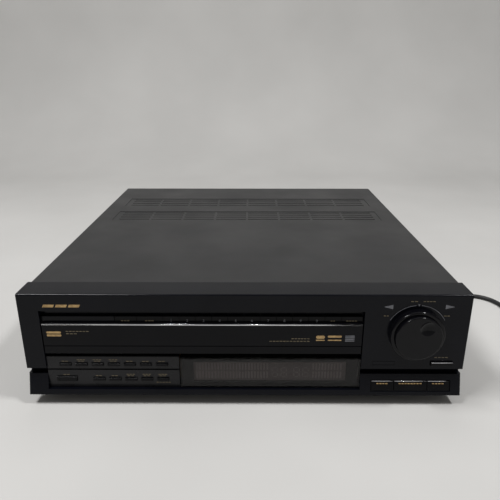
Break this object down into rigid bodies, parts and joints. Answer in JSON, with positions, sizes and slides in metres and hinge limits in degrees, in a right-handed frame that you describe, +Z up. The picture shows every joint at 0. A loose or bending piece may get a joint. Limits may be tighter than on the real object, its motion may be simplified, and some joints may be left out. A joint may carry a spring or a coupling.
{
  "type": "laserdisc player",
  "caption": "Wide dark front-loading video disc player with a disc drawer, key rows, a display window, a jog dial inside a shuttle ring, and a mains lead.",
  "frame": {"origin": "on the surface that the feet stand on, under the middle of the player's box, its mains lead left out", "axes": "+X to the player's right as seen from the front, +Y from the front to the rear, +Z up"},
  "size_m": [0.7327, 0.5827, 0.121],
  "materials": {
    "cover_paint": "satin dark grey paint",
    "bezel_plastic": "half-gloss black moulding",
    "panel_plastic": "satin near-black moulding",
    "key_plastic": "satin black key caps",
    "drawer_plastic": "half-gloss black moulding",
    "smoked_window": "smoked acrylic",
    "tube_glass": "dark display glass",
    "dial_plastic": "polished black dial",
    "tray_plastic": "fine-grained black moulding",
    "zinc_sheet": "zinc-plated sheet",
    "rear_paint": "matt black paint",
    "board_laminate": "green board laminate",
    "iron_core": "varnished laminations",
    "motor_steel": "plated motor can",
    "socket_metal": "plated barrels in a black block",
    "gear_nylon": "natural nylon",
    "cast_alloy": "die-cast",
    "turntable_plastic": "black platform with felt ring",
    "screw_steel": "black oxide",
    "foot_plastic": "matt black",
    "cord_rubber": "soft black jacket",
    "plug_rubber": "moulded black plug"
  },
  "bodies": {
    "case": {"chassis_base": "zinc_sheet", "top_cover": "cover_paint", "rear_panel": "rear_paint", "front_bezel": "bezel_plastic", "lower_bar": "panel_plastic", "key_panel": "panel_plastic", "display_window": "smoked_window", "display_tube": "tube_glass", "circuit_boards": "board_laminate", "feet": "foot_plastic", "case_screws": "screw_steel", "front_bulkhead": "zinc_sheet", "power_transformer": "iron_core", "loading_motor": "motor_steel", "rear_sockets": "socket_metal", "strain_relief": "plug_rubber", "power_cord": "cord_rubber", "cord_coil": "cord_rubber", "mains_plug": "plug_rubber"},
    "drawer": {"disc_tray": "tray_plastic", "drawer_front": "drawer_plastic"},
    "loading_gear": {"loading_gear": "gear_nylon"},
    "mechanism": {"mechanism_frame": "zinc_sheet"},
    "turntable": {"turntable": "turntable_plastic"},
    "pickup": {"pickup_carriage": "cast_alloy"},
    "clamp_bridge": {"clamp_bridge": "zinc_sheet"},
    "disc_clamp": {"disc_clamp": "turntable_plastic"},
    "jog_dial": {"jog_dial": "dial_plastic"},
    "shuttle_ring": {"shuttle_ring": "dial_plastic"},
    "side_a_key": {"side_a_key": "key_plastic"},
    "side_b_key": {"side_b_key": "key_plastic"},
    "digit_1_key": {"digit_1_key": "key_plastic"},
    "digit_2_key": {"digit_2_key": "key_plastic"},
    "digit_3_key": {"digit_3_key": "key_plastic"},
    "digit_4_key": {"digit_4_key": "key_plastic"},
    "digit_5_key": {"digit_5_key": "key_plastic"},
    "digit_6_key": {"digit_6_key": "key_plastic"},
    "digit_7_key": {"digit_7_key": "key_plastic"},
    "digit_8_key": {"digit_8_key": "key_plastic"},
    "digit_9_key": {"digit_9_key": "key_plastic"},
    "digit_0_key": {"digit_0_key": "key_plastic"},
    "plus_ten_key": {"plus_ten_key": "key_plastic"},
    "clear_key": {"clear_key": "key_plastic"},
    "upper_key_1": {"upper_key_1": "key_plastic"},
    "upper_key_2": {"upper_key_2": "key_plastic"},
    "upper_key_3": {"upper_key_3": "key_plastic"},
    "upper_key_4": {"upper_key_4": "key_plastic"},
    "upper_key_5": {"upper_key_5": "key_plastic"},
    "upper_key_6": {"upper_key_6": "key_plastic"},
    "upper_key_7": {"upper_key_7": "key_plastic"},
    "lower_key_1": {"lower_key_1": "key_plastic"},
    "lower_key_2": {"lower_key_2": "key_plastic"},
    "lower_key_3": {"lower_key_3": "key_plastic"},
    "lower_key_4": {"lower_key_4": "key_plastic"},
    "lower_key_5": {"lower_key_5": "key_plastic"},
    "power_key": {"power_key": "key_plastic"},
    "transport_key_left": {"transport_key_left": "key_plastic"},
    "transport_key_middle": {"transport_key_middle": "key_plastic"},
    "transport_key_right": {"transport_key_right": "key_plastic"},
    "open_close_key": {"open_close_key": "key_plastic"}
  },
  "joints": [
    {"name": "drawer_slide", "type": "slide", "parent": "case", "child": "drawer", "axis": [0, -1, 0], "range_m": [0, 0.30159]},
    {"name": "loading_gear_spin", "type": "hinge", "parent": "case", "child": "loading_gear", "pos_m": [0.078, -0.176, 0.053], "axis": [0, 0, 1], "range_deg": [-1441, 1]},
    {"name": "mechanism_lift", "type": "slide", "parent": "case", "child": "mechanism", "axis": [0, 0, 1], "range_m": [0, 0.013]},
    {"name": "turntable_spin", "type": "hinge", "parent": "mechanism", "child": "turntable", "pos_m": [-0.041, -0.0553, 0.0495], "axis": [0, 0, 1], "continuous": true},
    {"name": "pickup_travel", "type": "slide", "parent": "mechanism", "child": "pickup", "axis": [0, 1, 0], "range_m": [0, 0.095]},
    {"name": "clamp_bridge_hinge", "type": "hinge", "parent": "case", "child": "clamp_bridge", "pos_m": [-0.041, 0.144, 0.089], "axis": [1, 0, 0], "range_deg": [0, 2]},
    {"name": "disc_clamp_spin", "type": "hinge", "parent": "clamp_bridge", "child": "disc_clamp", "pos_m": [-0.041, -0.0553, 0.076], "axis": [0, 0, 1], "continuous": true},
    {"name": "jog_turn", "type": "hinge", "parent": "case", "child": "jog_dial", "pos_m": [0.16675, -0.226, 0.0803], "axis": [0, 1, 0], "continuous": true},
    {"name": "shuttle_turn", "type": "hinge", "parent": "case", "child": "shuttle_ring", "pos_m": [0.16675, -0.226, 0.0803], "axis": [0, 1, 0], "range_deg": [-60, 60], "stiffness_Nm_per_rad": 0.04},
    {"name": "side_a_key_press", "type": "slide", "parent": "case", "child": "side_a_key", "axis": [0, 1, 0], "range_m": [0, 0.001], "stiffness_N_per_m": 900},
    {"name": "side_b_key_press", "type": "slide", "parent": "case", "child": "side_b_key", "axis": [0, 1, 0], "range_m": [0, 0.001], "stiffness_N_per_m": 900},
    {"name": "digit_1_key_press", "type": "slide", "parent": "case", "child": "digit_1_key", "axis": [0, 1, 0], "range_m": [0, 0.001], "stiffness_N_per_m": 900},
    {"name": "digit_2_key_press", "type": "slide", "parent": "case", "child": "digit_2_key", "axis": [0, 1, 0], "range_m": [0, 0.001], "stiffness_N_per_m": 900},
    {"name": "digit_3_key_press", "type": "slide", "parent": "case", "child": "digit_3_key", "axis": [0, 1, 0], "range_m": [0, 0.001], "stiffness_N_per_m": 900},
    {"name": "digit_4_key_press", "type": "slide", "parent": "case", "child": "digit_4_key", "axis": [0, 1, 0], "range_m": [0, 0.001], "stiffness_N_per_m": 900},
    {"name": "digit_5_key_press", "type": "slide", "parent": "case", "child": "digit_5_key", "axis": [0, 1, 0], "range_m": [0, 0.001], "stiffness_N_per_m": 900},
    {"name": "digit_6_key_press", "type": "slide", "parent": "case", "child": "digit_6_key", "axis": [0, 1, 0], "range_m": [0, 0.001], "stiffness_N_per_m": 900},
    {"name": "digit_7_key_press", "type": "slide", "parent": "case", "child": "digit_7_key", "axis": [0, 1, 0], "range_m": [0, 0.001], "stiffness_N_per_m": 900},
    {"name": "digit_8_key_press", "type": "slide", "parent": "case", "child": "digit_8_key", "axis": [0, 1, 0], "range_m": [0, 0.001], "stiffness_N_per_m": 900},
    {"name": "digit_9_key_press", "type": "slide", "parent": "case", "child": "digit_9_key", "axis": [0, 1, 0], "range_m": [0, 0.001], "stiffness_N_per_m": 900},
    {"name": "digit_0_key_press", "type": "slide", "parent": "case", "child": "digit_0_key", "axis": [0, 1, 0], "range_m": [0, 0.001], "stiffness_N_per_m": 900},
    {"name": "plus_ten_key_press", "type": "slide", "parent": "case", "child": "plus_ten_key", "axis": [0, 1, 0], "range_m": [0, 0.001], "stiffness_N_per_m": 900},
    {"name": "clear_key_press", "type": "slide", "parent": "case", "child": "clear_key", "axis": [0, 1, 0], "range_m": [0, 0.001], "stiffness_N_per_m": 900},
    {"name": "upper_key_1_press", "type": "slide", "parent": "case", "child": "upper_key_1", "axis": [0, 1, 0], "range_m": [0, 0.001], "stiffness_N_per_m": 900},
    {"name": "upper_key_2_press", "type": "slide", "parent": "case", "child": "upper_key_2", "axis": [0, 1, 0], "range_m": [0, 0.001], "stiffness_N_per_m": 900},
    {"name": "upper_key_3_press", "type": "slide", "parent": "case", "child": "upper_key_3", "axis": [0, 1, 0], "range_m": [0, 0.001], "stiffness_N_per_m": 900},
    {"name": "upper_key_4_press", "type": "slide", "parent": "case", "child": "upper_key_4", "axis": [0, 1, 0], "range_m": [0, 0.001], "stiffness_N_per_m": 900},
    {"name": "upper_key_5_press", "type": "slide", "parent": "case", "child": "upper_key_5", "axis": [0, 1, 0], "range_m": [0, 0.001], "stiffness_N_per_m": 900},
    {"name": "upper_key_6_press", "type": "slide", "parent": "case", "child": "upper_key_6", "axis": [0, 1, 0], "range_m": [0, 0.001], "stiffness_N_per_m": 900},
    {"name": "upper_key_7_press", "type": "slide", "parent": "case", "child": "upper_key_7", "axis": [0, 1, 0], "range_m": [0, 0.001], "stiffness_N_per_m": 900},
    {"name": "lower_key_1_press", "type": "slide", "parent": "case", "child": "lower_key_1", "axis": [0, 1, 0], "range_m": [0, 0.001], "stiffness_N_per_m": 900},
    {"name": "lower_key_2_press", "type": "slide", "parent": "case", "child": "lower_key_2", "axis": [0, 1, 0], "range_m": [0, 0.001], "stiffness_N_per_m": 900},
    {"name": "lower_key_3_press", "type": "slide", "parent": "case", "child": "lower_key_3", "axis": [0, 1, 0], "range_m": [0, 0.001], "stiffness_N_per_m": 900},
    {"name": "lower_key_4_press", "type": "slide", "parent": "case", "child": "lower_key_4", "axis": [0, 1, 0], "range_m": [0, 0.001], "stiffness_N_per_m": 900},
    {"name": "lower_key_5_press", "type": "slide", "parent": "case", "child": "lower_key_5", "axis": [0, 1, 0], "range_m": [0, 0.001], "stiffness_N_per_m": 900},
    {"name": "power_key_press", "type": "slide", "parent": "case", "child": "power_key", "axis": [0, 1, 0], "range_m": [0, 0.001], "stiffness_N_per_m": 900},
    {"name": "transport_key_left_press", "type": "slide", "parent": "case", "child": "transport_key_left", "axis": [0, 1, 0], "range_m": [0, 0.001], "stiffness_N_per_m": 900},
    {"name": "transport_key_middle_press", "type": "slide", "parent": "case", "child": "transport_key_middle", "axis": [0, 1, 0], "range_m": [0, 0.001], "stiffness_N_per_m": 900},
    {"name": "transport_key_right_press", "type": "slide", "parent": "case", "child": "transport_key_right", "axis": [0, 1, 0], "range_m": [0, 0.001], "stiffness_N_per_m": 900},
    {"name": "open_close_key_press", "type": "slide", "parent": "case", "child": "open_close_key", "axis": [0, 1, 0], "range_m": [0, 0.001], "stiffness_N_per_m": 900}
  ],
  "couplings": [
    {"joint": "loading_gear_spin", "follows": "drawer_slide", "rad_per_m": -83.333}
  ]
}
